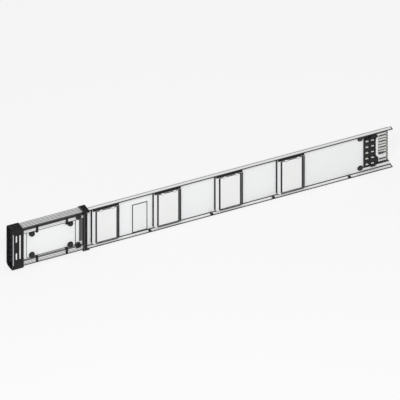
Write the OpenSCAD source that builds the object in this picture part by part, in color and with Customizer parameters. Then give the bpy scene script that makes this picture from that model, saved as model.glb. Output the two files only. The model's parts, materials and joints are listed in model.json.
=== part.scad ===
// Plug-in busbar trunking: one straight section with four tap-off outlets.
// The run lies along X, the outlets face -Y, and the section stands on its collars at z = 0.

/* [Run] */
// Overall length of the section, from the joint's open end to the end of the flanges
section_length = 1500; // [1420:10:3000]
// Height of the sheet-steel casing
casing_height = 166; // [160:1:180]
// Depth of the channel from its flange edges to the back of its web
flange_depth = 20; // [18:0.5:24]
// Thickness of the casing sheet
sheet = 1.5; // [1:0.1:2]
// Outside radius of the sheet's bends
bend_radius = 3; // [2.5:0.1:4]
// Distance from the casing's top and bottom to the rear tray's lips
tray_margin = 5; // [4:0.5:7]
// Depth of the rear tray behind the web
tray_depth = 19; // [18:0.5:22]
// Width of the rear tray's mounting lips
tray_lip = 7; // [5:0.5:8]
// Length of channel at the right end that has no web
open_end = 108; // [98:1:112]
// How far the rear tray stops short of the flange ends
tray_setback = 4; // [2:0.5:8]

/* [Bars] */
// Height of one busbar
bar_height = 18; // [14:0.5:20]
// Thickness of one busbar
bar_thickness = 4; // [3:0.5:5]
// Spacing of the bars' centre lines
bar_pitch = 25; // [24:0.25:25.5]
// Length of one bar support along the run
support_length = 12; // [8:1:20]
// Wall of the bar support around each bar
support_wall = 3; // [2:0.5:3.5]
// How far the forked contacts stop short of the flange ends
fork_setback = 10; // [8:1:14]
// Height of one forked contact
fork_height = 21; // [18:0.5:22]
// Thickness of one leaf of a forked contact
leaf_thickness = 1.6; // [1:0.1:2]
// Height of the slot in a forked contact
fork_slot = 6; // [4:0.5:8]

/* [Outlets] */
// Spacing of the outlets along the run
outlet_pitch = 243; // [220:1:250]
// Distance from the right collar to the first outlet frame
outlet_offset = 18; // [14:1:30]
// Width of the outlet frame
frame_width = 107; // [100:1:115]
// Distance from the lower flange to the outlet frame
frame_below = 3.5; // [2:0.5:6]
// Distance from the outlet frame to the upper flange
frame_above = 5.5; // [4:0.5:8]
// How far the outlet frame stands proud of the web
frame_proud = 8; // [7:0.5:9]
// Corner radius of the outlet frame
frame_corner = 9; // [6:0.5:12]
// Width of the flap
flap_width = 85; // [78:1:88]
// Distance of the hinge below the frame's top edge
hinge_drop = 17; // [16:0.5:20]
// Thickness of the flap
flap_thickness = 3; // [2.5:0.1:3.5]
// Corner radius of the flap's lower corners
flap_corner = 6; // [4:0.5:9]
// Margin between the frame's left edge and the flap
flap_margin = 16; // [14:0.5:17]
// Diameter of the hinge pins
pin_diameter = 3; // [2.5:0.1:3.4]
// Outside diameter of the hinge barrel
barrel_diameter = 7; // [6.6:0.1:7.4]
// Depth of the ribbed hinge cover above the flap
hinge_cover_depth = 4; // [3:0.5:5]
// Number of grooves in the hinge cover
cover_grooves = 3; // [2:1:4]

/* [Joint housing] */
// Length from the left collar's outer face to the right collar's outer face
joint_length = 304; // [296:1:320]
// Height of the joint housing
joint_height = 162; // [158:1:165]
// Depth of the joint housing
joint_depth = 38; // [38:0.5:42]
// Wall of the joint rails
rail_wall = 2.5; // [2:0.1:3]
// Height of the rails' front and back lips
rail_lip = 24; // [20:0.5:28]
// Thickness of the rails' front and back lips
lip_thickness = 5; // [4:0.1:5.6]
// Height of the ribs along the rails
rib_height = 2; // [1:0.1:2.4]
// Width of the ribs along the rails
rib_width = 3; // [2:0.1:4]
// Number of ribs on top of a rail
rib_count = 4; // [3:1:5]
// Length of the left collar
collar_left_length = 43; // [40:1:48]
// Length of the right collar
collar_right_length = 24; // [22:1:30]
// Height of the collars
collar_height = 174; // [172:1:180]
// Depth of the collars
collar_depth = 56; // [55:0.5:60]
// How far the casing's middle lies behind the collars' middle
casing_offset = 2; // [1:0.5:2.5]
// Corner radius of the collars
collar_corner = 14; // [9:0.5:16]
// Depth of the grooves between the collars' ribs
groove_depth = 1.8; // [1:0.1:2]
// Height of the plain part of the collars above their grooves
cap_above = 22; // [18:1:30]
// Height of the plain part of the collars below their grooves
cap_below = 48; // [30:1:54]
// Height of the catches on the collars' fronts
catch_height = 46; // [30:1:60]
// How far the catches' middle lies above the collars' middle
catch_rise = 13; // [0:1:20]
// Thickness of the floor inside the left collar
collar_floor = 4; // [3:0.5:6]

/* [Fasteners and plates] */
// Diameter of the joint bolts' heads, across the corners
bolt_head = 20; // [16:0.5:21]
// Diameter of the joint screws' heads
joint_screw_head = 22; // [18:0.5:22]
// Height of the joint bolt heads
bolt_head_height = 9; // [6:0.5:9]
// Diameter of the joint bolt shanks
bolt_shank = 8; // [6:0.5:9]
// Diameter of the web screws' heads, across the corners
screw_head = 20; // [16:0.5:22]
// Diameter of the web screws' shanks
screw_shank = 8; // [6:0.5:9]
// Width of the blank plate on the web
plate_width = 60; // [50:1:64]
// Height of the blank plate on the web
plate_height = 122; // [110:1:124]
// Thickness of the blank plate
plate_thickness = 1; // [0.8:0.1:1.5]
// Width of a flange clip along the run
clip_width = 10; // [8:0.5:12]
// Distance of the blank plate's right edge from the second outlet frame
plate_offset = 23; // [14:1:40]
// Clearance between parts that fit into one another
fit = 0.3; // [0.2:0.05:0.4]

/* [Hidden] */
$fn = 48;
BAR_NAMES = ["l1", "l2", "l3", "n", "pe"];

// Places along the run
left = -section_length / 2;
right = section_length / 2;
joint_right = left + joint_length;
housing_left = left + collar_left_length;
housing_right = joint_right - collar_right_length;
casing_left = housing_right + 6;
web_right = right - open_end;
tray_left = joint_right + fit;
tray_right = right - tray_setback;

// Heights
mid_z = collar_height / 2;
casing_bottom = mid_z - casing_height / 2;
web_bottom = casing_bottom + sheet;

// Depths, measured towards the back
channel_front = casing_offset - (flange_depth + tray_depth) / 2;
web_back = channel_front + flange_depth;
web_front = web_back - sheet;
tray_back = web_back + tray_depth;
bar_y = web_back + 7;
tray_height = casing_height - 2 * (tray_lip + tray_margin);
tray_inner_back = tray_back - sheet;
tray_inner_height = tray_height - 2 * sheet;
tray_inner_bottom = mid_z - tray_inner_height / 2;

// Outlets
frame_left = joint_right + outlet_offset;
frame_bottom = web_bottom + frame_below;
frame_top = 2 * mid_z - web_bottom - frame_above;
frame_height = frame_top - frame_bottom;
frame_front = web_front - frame_proud;
flap_left = flap_margin;
flap_bottom = frame_bottom + 3;
hinge_z = frame_top - hinge_drop;
flap_height = hinge_z - flap_bottom;
spigot_side = 6;
spigot_bottom = tray_inner_bottom + 1.5;
spigot_top = 2 * mid_z - spigot_bottom;
window_inset = 9;
window_bottom = spigot_bottom + 5;
guard_bottom = spigot_bottom + 2;
guard_top = spigot_top - 9;
guard_slot_inset = 22;
guard_slot_height = 7;
hinge_y = frame_front + barrel_diameter / 2;
flap_gap = 0.8;
pocket_depth = flap_thickness + flap_gap;

// Busbar ends
block_left = web_right + 2;
column_width = 22;
column_corner = 5;
block_right = block_left + 2 * column_width;
block_front = web_front - 6;
column_heights = [4 * bar_pitch + 18, 4 * bar_pitch + 34];
cell_margin = 3.5;
carrier_width = 12;
carrier_front = web_front - 2;
shroud_wall = 9;
shroud_thickness = 4;
shroud_corner = 22;
shroud_setback = 12;
fork_left = block_right + fit;
fork_right = right - fork_setback;
fork_sleeve = 8;
fork_corner = 4;
bars_left = left + 14;
bars_right = fork_left + fork_sleeve - 1;

// Joint housing
joint_front_y = casing_offset - joint_depth / 2;
rail_bottom = mid_z - joint_height / 2;
lip_ribs = 3;
cover_front = joint_front_y + lip_thickness + fit;
cover_thickness = 2.5;
cover_back = cover_front + cover_thickness;
cover_height = joint_height - 2 * rail_wall - 2 * fit;
recess_height = joint_height - 2 * rail_lip;
recess_margin = 22;
recess_depth = 1;
boss_length = 14;
boss_wall = 4;
lip_hole = bolt_shank / 2 + fit;
socket_left = left + 6;
socket_right = housing_left + 9;
socket_front = bar_y - 9;
socket_height = 4 * bar_pitch + bar_height + 12;
socket_wall = 10;
tip_diameter = 4;
cell_depth = bar_thickness + 2 * leaf_thickness + 1.6 * tip_diameter;
cell_height = fork_height + 1;

// Fastener places
bolt_inset = 39;
right_bolt_inset = 47;
bolt_rise = joint_height / 2 - rail_lip - bolt_head / 2 - 1;
bolt_xs = [housing_left + bolt_inset, housing_right - right_bolt_inset];
bolt_zs = [mid_z - bolt_rise, mid_z + bolt_rise];
joint_screw_x = housing_right - 18;
latch_offset = bolt_head / 2 + 7;
latch_xs = [bolt_xs[0] + latch_offset, bolt_xs[1] - latch_offset];
latch_width = 9;
latch_reach = 20;
latch_foot = 5;
latch_thickness = 2;
collar_ribs = 3;
groove_width = 6;
catch_width = 20;
catch_inset = 1;
front_step = 11;
screw_x = web_right - screw_head / 2 - 2;
screw_rise = tray_inner_height / 2 - screw_shank / 2 - 1.5;
screw_head_height = 4;
screw_zs = [mid_z - screw_rise, mid_z + screw_rise];
clip_slot_y = channel_front + 5;
clip_stem = 4;
clip_head = 3;
clip_xs = concat([for (k = [2:4]) frame_x(k) - 18], [screw_x - 48]);
top_screw_z = mid_z + joint_height / 2 - rail_lip / 2;
low_screw_z = rail_bottom + rail_lip + 2;
notch_margin = 2;
pin_reach = 3.5;
knuckle_width = 10;
knuckle_inset = 14;
knuckle_xs = [flap_left + knuckle_inset, flap_left + flap_width - knuckle_inset - knuckle_width];
cover_inset = 2;
cover_gap = barrel_diameter / 2 + flap_gap + 1;

function bar_z(i) = mid_z + (2 - i) * bar_pitch;
function frame_x(k) = frame_left + (k - 1) * outlet_pitch;
function support_x(k) = max(tray_left + support_length, frame_x(k) - (outlet_pitch - frame_width) / 2);

// A square-edged block between two corners
module block(a, b) translate(a) cube(b - a);

// Draws a profile given in (y, z) as a prism from x0 to x1
module run(x0, x1) translate([x0, 0, 0]) rotate([90, 0, 90]) linear_extrude(x1 - x0) children();

// Draws a profile given in (x, z) as a prism that goes back from y0 to y1
module plate(y0, y1) translate([0, y1, 0]) rotate([90, 0, 0]) linear_extrude(y1 - y0) children();

// A rectangle with round corners, from a corner point
module rounded(w, h, r) {
    translate([r, 0]) square([w - 2 * r, h]);
    translate([0, r]) square([w, h - 2 * r]);
    for (x = [r, w - r], y = [r, h - r]) translate([x, y]) circle(r);
}

// A rounded rectangle centred on the collars' axis
module centred(depth, height, r) translate([-depth / 2, mid_z - height / 2]) rounded(depth, height, r);

// A hexagonal head with a shank, its axis along Y, the head's face at the front
module bolt(head, head_height, shank, length) {
    rotate([90, 0, 0]) cylinder(d = head, h = head_height, $fn = 6);
    rotate([-90, 0, 0]) cylinder(d = shank, h = length);
}

// The channel's section: a web with a flange bent forward at its top and bottom
module channel_section(grow = 0) {
    intersection() {
        difference() {
            translate([web_back + grow - 2 * flange_depth, casing_bottom - grow])
                rounded(2 * flange_depth, casing_height + 2 * grow, bend_radius);
            translate([web_front - grow - 2 * flange_depth, web_bottom + grow])
                rounded(2 * flange_depth, casing_height - 2 * sheet - 2 * grow, bend_radius - sheet);
        }
        translate([channel_front - grow, casing_bottom - grow])
            square([flange_depth + 2 * grow, casing_height + 2 * grow]);
    }
}

// The rear tray's outline, filled, from the web's back
module tray_outline(grow = 0) {
    intersection() {
        translate([web_back - bend_radius, mid_z - tray_height / 2 - grow])
            rounded(tray_depth + bend_radius + grow, tray_height + 2 * grow, bend_radius);
        translate([web_back, 0]) square([2 * tray_depth, collar_height]);
    }
}

// The section of a piece that fills the tray's inside
module tray_core(front) {
    translate([front, tray_inner_bottom + fit])
        rounded(tray_inner_back - fit - front, tray_inner_height - 2 * fit, bend_radius);
}

module casing_channel() {
    cut = [web_right, web_front - 1, web_bottom + bend_radius];
    color("whitesmoke") difference() {
        run(casing_left, right) channel_section();
        block(cut, [right + 1, web_back + 1, 2 * mid_z - cut.z]);
        for (k = [1:4]) translate([frame_x(k), 0, 0]) plate(web_front - 1, web_back + 1) frame_spigot(fit);
        for (z = screw_zs) translate([screw_x, web_front - 1, z]) rotate([-90, 0, 0])
            cylinder(d = screw_shank + 2 * fit, h = sheet + 2);
        for (x = clip_xs) block([x - clip_width / 4 - fit, clip_slot_y - fit, casing_bottom - 1],
            [x + clip_width / 4 + fit, clip_slot_y + clip_stem + fit, web_bottom + 1]);
    }
}

// The rear tray: a hat section whose lips lie on the web's back
module casing_rear() {
    color("gainsboro") run(tray_left, tray_right) {
        difference() {
            tray_outline();
            translate([web_back - bend_radius, tray_inner_bottom])
                rounded(tray_depth + bend_radius - sheet, tray_inner_height, bend_radius - sheet);
        }
        for (s = [-1, 1]) translate([web_back, mid_z + s * (tray_height / 2 + tray_lip / 2 - sheet / 2)])
            translate([0, -tray_lip / 2 - sheet / 2]) square([sheet, tray_lip + sheet]);
    }
}

module bar(i) {
    color("silver") block([bars_left, bar_y - bar_thickness / 2, bar_z(i) - bar_height / 2],
        [bars_right, bar_y + bar_thickness / 2, bar_z(i) + bar_height / 2]);
}

// A fork of two leaves, with round-ended prongs, on a sleeve that holds the bar's end
module contact(i) {
    leaf_y = bar_thickness / 2 + leaf_thickness;
    color("silver") translate([0, bar_y, bar_z(i)]) {
        for (y = [-leaf_y, leaf_y - leaf_thickness]) plate(y, y + leaf_thickness) difference() {
            translate([fork_left, -fork_height / 2]) rounded(fork_right - fork_left, fork_height, fork_corner);
            translate([fork_left + 2 * fork_sleeve, -fork_slot / 2])
                rounded(fork_right - fork_left, fork_slot, fork_slot / 2.1);
        }
        for (y = [-1, 1], z = [-fork_height / 2, fork_slot / 2])
            translate([fork_right - tip_diameter / 2, y * (leaf_y + tip_diameter / 4), z])
                cylinder(d = tip_diameter, h = (fork_height - fork_slot) / 2);
        difference() {
            block([fork_left, -leaf_y, -fork_height / 2], [fork_left + fork_sleeve, leaf_y, fork_height / 2]);
            block([fork_left - 1, -bar_thickness / 2, -bar_height / 2 - fit / 2],
                [fork_left + fork_sleeve + 1, bar_thickness / 2, bar_height / 2 + fit / 2]);
        }
    }
}

// Windows that the five bars pass through, along the run
module bar_windows(x0, x1) {
    for (i = [0:4]) block([x0, bar_y - bar_thickness / 2 - fit, bar_z(i) - bar_height / 2 - fit],
        [x1, bar_y + bar_thickness / 2 + fit, bar_z(i) + bar_height / 2 + fit]);
}

// Combs that fill the tray's section, with a window for each bar and hollows behind the bars
module bar_supports() {
    color("dimgray") for (k = [1:5]) translate([support_x(k) - support_length / 2, 0, 0]) difference() {
        run(0, support_length) tray_core(web_back + fit);
        bar_windows(-1, support_length + 1);
        for (i = [0:4]) block([-1, bar_y + bar_thickness / 2 + support_wall, bar_z(i) - bar_height / 2],
            [support_length + 1, tray_inner_back - fit - support_wall / 2, bar_z(i) + bar_height / 2]);
    }
}

// The moulded block at the open end: a comb in the tray, two columns of cells and a fork carrier
module contact_block() {
    color("#2a2a2c") difference() {
        union() {
            run(block_left, block_right) tray_core(web_front);
            for (c = [0, 1]) plate(block_front - c, web_back)
                translate([block_left + c * column_width, mid_z - column_heights[c] / 2])
                    rounded(column_width, column_heights[c], column_corner);
            plate(carrier_front, bar_y - bar_thickness / 2 - leaf_thickness - fit)
                translate([block_right - column_corner, mid_z - column_heights[0] / 2])
                    rounded(carrier_width + column_corner, column_heights[0], column_corner);
        }
        bar_windows(block_left - 1, block_right + 1);
        for (i = [0:4], c = [0, 1]) block([block_left + cell_margin + c * column_width, block_front - 2,
                bar_z(i) - bar_height / 2 + cell_margin],
            [block_left + column_width - cell_margin + c * column_width, bar_y - bar_thickness / 2 - 2,
                bar_z(i) + bar_height / 2 - cell_margin]);
    }
}

// A guard on the carrier's front: a wall with a round lower corner, open towards the joint
module fork_shroud() {
    x0 = block_right + fit;
    z0 = bar_z(3) - fork_height / 2;
    size = [2 * (fork_right - x0), bar_z(0) + fork_height / 2 - z0];
    color("lightgray") plate(carrier_front - shroud_thickness, carrier_front) difference() {
        translate([x0, z0]) rounded(size.x, size.y, shroud_corner);
        translate([x0 + shroud_wall, z0 + shroud_wall]) rounded(size.x, 2 * size.y, shroud_corner - shroud_wall);
        translate([fork_right - shroud_setback, z0 - 1]) square(size + [1, 2]);
    }
}

// The receptacle's outline in (y, z), as deep as the tray it plugs into or narrower behind
module socket_outline(back, grow = 0) {
    translate([socket_front - grow, mid_z - socket_height / 2 - grow])
        square([back - socket_front + 2 * grow, socket_height + 2 * grow]);
}

// The receptacle in the joint's open end: five cells around the bars' ends, closed at the back
module joint_socket() {
    color("#3a3a3d") difference() {
        union() {
            run(socket_left, housing_left) socket_outline(tray_inner_back - fit);
            run(socket_left, socket_right) socket_outline(2 * casing_offset - cover_back);
        }
        bar_windows(socket_left - 1, socket_right + 1);
        for (i = [0:4]) block([socket_left - 1, bar_y - cell_depth / 2, bar_z(i) - cell_height / 2],
            [socket_right - socket_wall, bar_y + cell_depth / 2, bar_z(i) + cell_height / 2]);
    }
}

// The part of an outlet frame that passes through the web, as an outline
module frame_spigot(grow = 0) {
    side = spigot_side - grow;
    translate([side, spigot_bottom - grow])
        rounded(frame_width - 2 * side, spigot_top - spigot_bottom + 2 * grow, frame_corner - 3);
}

// Lies along the hinge line from x0 to x1
module barrel(x0, x1, d) translate([x0, hinge_y, hinge_z]) rotate([0, 90, 0]) cylinder(d = d, h = x1 - x0);

// The seat of the hinge cover in the frame's top, as an outline
module hinge_seat(grow = 0) {
    inset = cover_inset - grow;
    translate([inset, hinge_z + cover_gap - grow])
        square([frame_width - 2 * inset, hinge_drop - cover_gap - cover_inset + 2 * grow]);
}

module outlet_frame(k) {
    color("#d9dadb") translate([frame_x(k), 0, 0]) difference() {
        union() {
            difference() {
                union() {
                    plate(frame_front, web_front) translate([0, frame_bottom])
                        rounded(frame_width, frame_height, frame_corner);
                    plate(web_front - 1, web_back + 2) frame_spigot();
                }
                block([flap_left - flap_gap, frame_front - 1, flap_bottom - flap_gap],
                    [flap_left + flap_width + flap_gap, frame_front + pocket_depth, hinge_z + 1]);
                block([flap_left - flap_gap, frame_front - 1, hinge_z - barrel_diameter / 2 - flap_gap],
                    [flap_left + flap_width + flap_gap, hinge_y + barrel_diameter / 2 + flap_gap,
                        hinge_z + barrel_diameter / 2 + flap_gap]);
                block([flap_left + window_inset, frame_front - 1, window_bottom],
                    [flap_left + flap_width - window_inset, web_back + 3, guard_top - barrel_diameter / 2]);
                block([flap_left + window_inset / 2, web_front + 1, guard_bottom],
                    [flap_left + flap_width - window_inset / 2, web_back + 3, guard_top]);
                plate(frame_front - 1, frame_front + hinge_cover_depth) hinge_seat(fit / 2);
            }
            for (x = knuckle_xs) {
                barrel(x, x + knuckle_width, barrel_diameter);
                block([x, hinge_y, hinge_z],
                    [x + knuckle_width, hinge_y + barrel_diameter / 2 + 1, hinge_z + barrel_diameter / 2 + 1]);
            }
        }
        barrel(flap_left - pin_reach - fit, flap_left + flap_width + pin_reach + fit, pin_diameter + fit);
    }
}

// A ribbed strip set into the frame above the flap, over the hinge
module hinge_cover(k) {
    step = (hinge_drop - cover_gap - cover_inset) / (cover_grooves + 1);
    color("#232325") translate([frame_x(k), 0, 0]) difference() {
        plate(frame_front, frame_front + hinge_cover_depth) hinge_seat();
        for (i = [1:cover_grooves]) translate([0, frame_front, frame_top - cover_inset - i * step])
            rotate([0, 90, 0]) cylinder(d = step / 2, h = frame_width);
    }
}

module outlet_flap(k) {
    color("white") translate([frame_x(k), 0, 0]) difference() {
        union() {
            plate(frame_front, frame_front + flap_thickness) intersection() {
                translate([flap_left, flap_bottom]) rounded(flap_width, flap_height + flap_corner, flap_corner);
                translate([flap_left, flap_bottom]) square([flap_width, flap_height]);
            }
            barrel(flap_left, flap_left + flap_width, barrel_diameter);
        }
        for (x = knuckle_xs) block([x - fit, frame_front - 1, hinge_z - barrel_diameter / 2 - flap_gap],
            [x + knuckle_width + fit, hinge_y + barrel_diameter, hinge_z + barrel_diameter]);
        barrel(flap_left - 1, flap_left + flap_width + 1, pin_diameter + fit);
    }
}

module outlet_pin(k) {
    color("dimgray") translate([frame_x(k), 0, 0])
        barrel(flap_left - pin_reach, flap_left + flap_width + pin_reach, pin_diameter);
}

// The guard behind a flap: a plate with a slot in front of each bar
module outlet_socket(k) {
    side = window_inset / 2 + fit;
    color("#2e2e30") translate([frame_x(k), 0, 0]) difference() {
        block([flap_left + side, web_front + 1, guard_bottom + fit],
            [flap_left + flap_width - side, bar_y - bar_thickness / 2 - fit, guard_top - fit]);
        for (i = [0:4]) block([flap_left + guard_slot_inset, web_front, bar_z(i) - guard_slot_height / 2],
            [flap_left + flap_width - guard_slot_inset, bar_y, bar_z(i) + guard_slot_height / 2]);
    }
}

module blank_plate() {
    color("gainsboro") plate(web_front - plate_thickness, web_front)
        translate([frame_x(2) - plate_offset - plate_width, web_bottom + bend_radius])
            square([plate_width, plate_height]);
}

// A clip pushed through a slot in the lower flange, its head on the flange's inner face
module flange_clip(k) {
    x = clip_xs[k - 1];
    color("#3a3a3d") {
        block([x - clip_width / 2, clip_slot_y - clip_head, web_bottom],
            [x + clip_width / 2, clip_slot_y + clip_stem + clip_head, web_bottom + clip_head]);
        block([x - clip_width / 4, clip_slot_y, casing_bottom - 1],
            [x + clip_width / 4, clip_slot_y + clip_stem, web_bottom]);
    }
}

module web_screw(z) {
    color("#232325") translate([screw_x, web_front, z])
        bolt(screw_head, screw_head_height, screw_shank, sheet + 5);
}

// One rail's section around its own middle: a wall with a front and a back lip, ribbed along its outside
module rail_section() {
    rib_step = joint_depth / (rib_count + 1);
    lip_step = rail_lip / (lip_ribs + 1);
    translate([-joint_depth / 2, 0]) square([joint_depth, rail_wall]);
    for (s = [0, 1]) mirror([s, 0]) translate([-joint_depth / 2, 0]) {
        square([lip_thickness, rail_lip]);
        for (i = [1:lip_ribs]) translate([-rib_height, i * lip_step - rib_width / 2])
            square([rib_height + 1, rib_width]);
    }
    for (i = [1:rib_count]) translate([-joint_depth / 2 + i * rib_step - rib_width / 2, -rib_height])
        square([rib_width, rib_height + 1]);
}

module rail() run(housing_left, housing_right) translate([casing_offset, rail_bottom]) rail_section();

// The lower rail, its front lip notched around the lower joint screw
module joint_rail_bottom() {
    color("lightgray") difference() {
        rail();
        translate([joint_screw_x, joint_front_y - 2, low_screw_z]) rotate([-90, 0, 0])
            cylinder(d = joint_screw_head + 2 * notch_margin, h = lip_thickness + 3);
    }
}

// The upper rail, with a hole through its front lip for the upper joint screw
module joint_rail_top() {
    color("lightgray") difference() {
        translate([0, 0, 2 * mid_z]) mirror([0, 0, 1]) rail();
        translate([joint_screw_x, joint_front_y - 2, top_screw_z]) rotate([-90, 0, 0])
            cylinder(d = lip_hole, h = lip_thickness + 4);
    }
}

// A cover between the rails' lips, drawn for the front
module joint_cover() {
    plate(cover_front, cover_back) translate([housing_left, mid_z - cover_height / 2])
        square([housing_right - housing_left, cover_height]);
}

module joint_front() {
    color("white") difference() {
        union() {
            joint_cover();
            for (x = bolt_xs, z = bolt_zs) translate([x, cover_front, z]) rotate([-90, 0, 0])
                cylinder(d = bolt_shank + 2 * boss_wall, h = boss_length);
        }
        block([bolt_xs[0] - recess_margin, cover_front - 1, mid_z - recess_height / 2],
            [bolt_xs[1] + recess_margin, cover_front + recess_depth, mid_z + recess_height / 2]);
        for (x = bolt_xs, z = bolt_zs) translate([x, cover_front - 1, z]) rotate([-90, 0, 0])
            cylinder(d = bolt_shank + fit, h = boss_length + 2);
        for (z = [low_screw_z, top_screw_z]) translate([joint_screw_x, cover_front - 1, z]) rotate([-90, 0, 0])
            cylinder(d = lip_hole, h = cover_thickness + 2);
    }
}

module joint_back() {
    color("gainsboro") translate([0, 2 * casing_offset, 0]) mirror([0, 1, 0]) joint_cover();
}

// A collar's outside from x0 to x1: solid ends above and below, and ribs with grooves along its sides
module collar_body(x0, x1) {
    step = (x1 - x0) / collar_ribs;
    reach = collar_depth / 2;
    difference() {
        run(x0, x1) centred(collar_depth, collar_height, collar_corner);
        for (i = [1:collar_ribs - 1], s = [-1, 1]) translate([x0 + i * step, s * reach, 0])
            block([-groove_width / 2, -groove_depth, cap_below],
                [groove_width / 2, groove_depth, collar_height - cap_above]);
        for (i = [1:collar_ribs - 1], s = [0, 1]) translate([x0 + i * step, 0, mid_z]) mirror([0, 0, s])
            block([-groove_width / 2, collar_corner - reach, collar_height / 2 - groove_depth],
                [groove_width / 2, reach - collar_corner, collar_height / 2 + 1]);
    }
    translate([x0 + catch_inset, -reach, mid_z + catch_rise])
        block([0, 0, -catch_height / 2], [catch_width, 2 * groove_depth, catch_height / 2]);
}

// A cup that takes the next section's casing; its floor has an opening around the receptacle
module collar_left() {
    color("#1c1c1e") difference() {
        collar_body(left, housing_left);
        run(left - 1, housing_left - collar_floor)
            translate([channel_front - 1, mid_z - casing_height / 2 - 2 * fit])
                rounded(tray_back - channel_front + 2, casing_height + 4 * fit, bend_radius);
        run(left, housing_left + 1) socket_outline(tray_inner_back - fit, fit);
    }
}

// A ring around the casing's left end, narrower in front than above and below
module collar_right() {
    color("#1c1c1e") difference() {
        collar_body(housing_right, joint_right);
        run(casing_left - fit, joint_right + 1) channel_section(fit);
        run(housing_right - 1, joint_right + 1) translate([web_back, tray_inner_bottom])
            square([2 * (bar_y - web_back), tray_inner_height]);
        block([joint_right - front_step, -collar_depth / 2 - 1, web_bottom + fit],
            [joint_right + 1, web_front, 2 * mid_z - web_bottom - fit]);
    }
}

module joint_bolt(k) {
    color("#232325") translate([bolt_xs[(k - 1) % 2], cover_front + recess_depth, bolt_zs[floor((k - 1) / 2)]])
        bolt(bolt_head, bolt_head_height, bolt_shank, boss_length);
}

module joint_screw(y, z, head_height) {
    color("#232325") translate([joint_screw_x, y, z]) {
        rotate([90, 0, 0]) cylinder(d = joint_screw_head, h = head_height);
        rotate([-90, 0, 0]) cylinder(d = bolt_shank / 2, h = lip_thickness + cover_thickness);
    }
}

// A small latch on a lip's face, with a hook over the lip's edge to the cover
module panel_latch(k) {
    face = joint_front_y - rib_height;
    edge = joint_height / 2 - rail_lip;
    color("#232325") translate([latch_xs[(k - 1) % 2], 0, mid_z]) mirror([0, 0, k > 2 ? 0 : 1]) {
        block([-latch_width / 2, face - latch_thickness, edge - latch_foot],
            [latch_width / 2, face, edge + latch_reach]);
        block([-latch_width / 2, face - latch_thickness, edge - latch_foot],
            [latch_width / 2, cover_front, edge - fit]);
    }
}

casing_channel();
casing_rear();
for (i = [0:4]) {
    bar(i);
    contact(i);
}
bar_supports();
contact_block();
fork_shroud();
joint_socket();
for (k = [1:4]) {
    outlet_frame(k);
    outlet_flap(k);
    outlet_pin(k);
    outlet_socket(k);
    hinge_cover(k);
    flange_clip(k);
    joint_bolt(k);
    panel_latch(k);
}
blank_plate();
web_screw(screw_zs[0]);  // web_screw_bottom
web_screw(screw_zs[1]);  // web_screw_top
joint_rail_top();
joint_rail_bottom();
joint_front();
joint_back();
collar_left();
collar_right();
joint_screw(joint_front_y - rib_height, top_screw_z, 2.5);  // joint_screw_top
joint_screw(cover_front, low_screw_z, 8);  // joint_screw_bottom
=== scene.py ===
import json
import math

import bmesh
import bpy
import numpy as np
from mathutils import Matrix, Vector


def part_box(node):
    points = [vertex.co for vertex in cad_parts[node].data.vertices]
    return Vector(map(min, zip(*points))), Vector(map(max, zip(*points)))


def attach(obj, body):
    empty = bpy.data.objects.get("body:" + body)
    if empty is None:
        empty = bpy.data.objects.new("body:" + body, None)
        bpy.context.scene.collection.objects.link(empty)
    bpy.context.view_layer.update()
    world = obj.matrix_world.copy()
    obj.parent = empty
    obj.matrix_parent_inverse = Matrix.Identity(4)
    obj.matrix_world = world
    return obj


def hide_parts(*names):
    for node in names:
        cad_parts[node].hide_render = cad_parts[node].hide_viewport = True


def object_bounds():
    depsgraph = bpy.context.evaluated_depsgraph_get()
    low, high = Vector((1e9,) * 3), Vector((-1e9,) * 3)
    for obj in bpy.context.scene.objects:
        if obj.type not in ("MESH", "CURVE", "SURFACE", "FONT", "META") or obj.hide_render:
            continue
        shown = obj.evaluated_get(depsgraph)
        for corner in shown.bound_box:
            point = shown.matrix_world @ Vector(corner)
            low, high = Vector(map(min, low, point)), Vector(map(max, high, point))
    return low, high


bl_info = {
    "name": "Busbar Trunking Section",
    "version": (1, 0, 0),
    "blender": (4, 5, 0),
    "location": "View3D > Sidebar > Trunking",
    "description": "Dresses a plug-in busbar trunking section with finishes, seals and screw heads",
    "category": "Object",
}

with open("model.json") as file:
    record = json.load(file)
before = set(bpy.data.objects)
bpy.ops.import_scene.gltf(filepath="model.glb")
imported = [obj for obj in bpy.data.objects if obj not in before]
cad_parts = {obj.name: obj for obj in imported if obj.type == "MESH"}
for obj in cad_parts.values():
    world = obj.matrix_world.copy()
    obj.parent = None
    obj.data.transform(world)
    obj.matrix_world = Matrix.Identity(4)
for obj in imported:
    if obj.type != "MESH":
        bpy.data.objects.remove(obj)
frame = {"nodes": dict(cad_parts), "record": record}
CAD_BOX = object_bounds()
SLOT_OF = {part["node"]: part["material_slot"] for part in frame["record"]["subparts"]}
SECTION = "section"
BARS = ("l1", "l2", "l3", "n", "pe")
OUTLETS = (1, 2, 3, 4)
BOLTS = (1, 2, 3, 4)
FRONT = Vector((0.0, -1.0, 0.0))

# What the solids' boxes don't give: a count of ribs, and sizes in metres
COLLAR_RIBS = 3                 # ribs along a collar's side
SHEET = 0.0015                  # thickness of the channel's and the tray's steel
TRAY_LIP = 0.007                # height of the tray's lips, which lie against the web's back
RIB_HEIGHT = 0.002              # how far the joint rails' ribs stand out
RECESS_MARGIN = 0.022           # from a joint bolt's axis to the side of the front cover's recess
RECESS_DEPTH = 0.001            # depth of that recess
BOLT_GAP = 0.001                # from a joint bolt's head to the recess's upper or lower side
GROOVE_DEPTH = 0.0018           # depth of the grooves between a collar's ribs
FRAME_CORNER = 0.009            # corner radius of an outlet frame
FLAP_CORNER = 0.006             # radius of a flap's lower corners
CELL_COLUMNS = (0.011, 0.033)   # from the contact block's left side to the middle of each column of cells
CELL_FLOOR = 0.002              # from a cell's floor to the bar behind it
TIP_RADIUS = 0.002              # radius of a fork's rounded tips
FORK_SLOT = 0.006               # height of the slot between a fork's two prongs

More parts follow.
